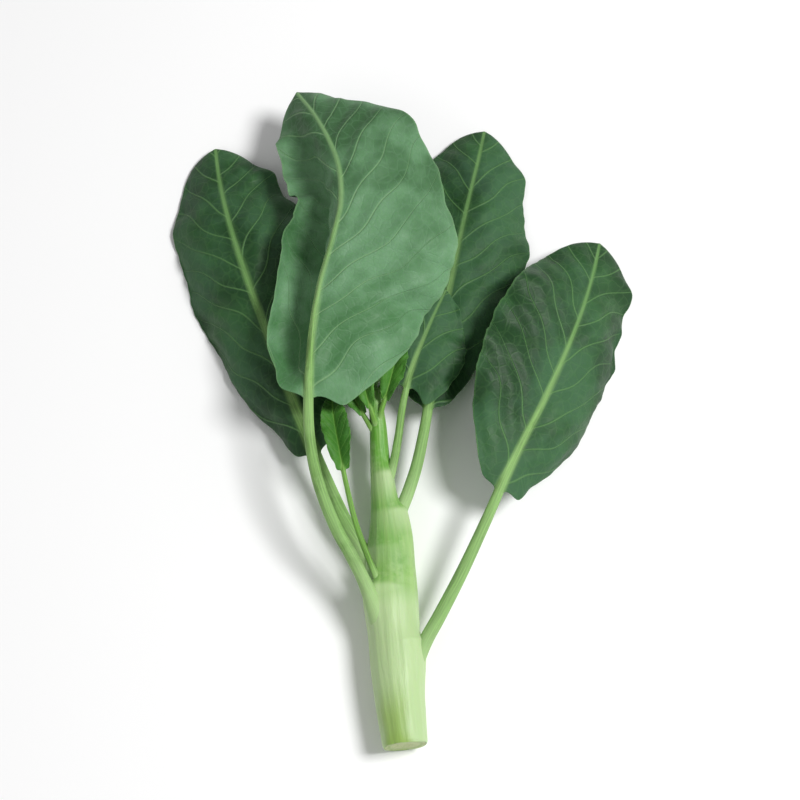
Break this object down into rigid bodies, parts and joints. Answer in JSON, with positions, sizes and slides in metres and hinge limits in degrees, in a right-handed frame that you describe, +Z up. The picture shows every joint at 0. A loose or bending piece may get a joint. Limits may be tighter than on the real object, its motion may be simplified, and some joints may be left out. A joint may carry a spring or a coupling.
{
  "type": "baby chinese broccoli",
  "caption": "Cut stalk of young leafy greens lying on its side: a stout pale stem, long-stalked broad wavy leaves, and small young leaves and closed buds at the tip.",
  "frame": {"origin": "on the table under the middle of the stalk's bounding box", "axes": "+Y along the stalk from the cut end to the leaf tips, +X to the right as it is looked down on, +Z up from the table"},
  "size_m": [0.1408, 0.2016, 0.0352],
  "materials": {
    "stem": "smooth pale green skin with a waxy bloom",
    "leaf": "matt blue-green blade, paler below, with a pale midrib and petiole",
    "young_leaf": "soft bright green",
    "bud": "matt light green"
  },
  "bodies": {
    "root": {"stem": "stem", "leaf_front": "leaf", "leaf_right": "leaf", "leaf_back_right": "leaf", "leaf_back_left": "leaf", "leaf_upper": "leaf", "young_leaf_left": "young_leaf", "young_leaf_right": "young_leaf", "young_leaf_top": "young_leaf", "axil_leaf": "young_leaf", "bud_1": "bud", "bud_2": "bud", "bud_3": "bud", "bud_4": "bud", "bud_5": "bud", "bud_6": "bud", "bud_7": "bud"}
  },
  "joints": []
}
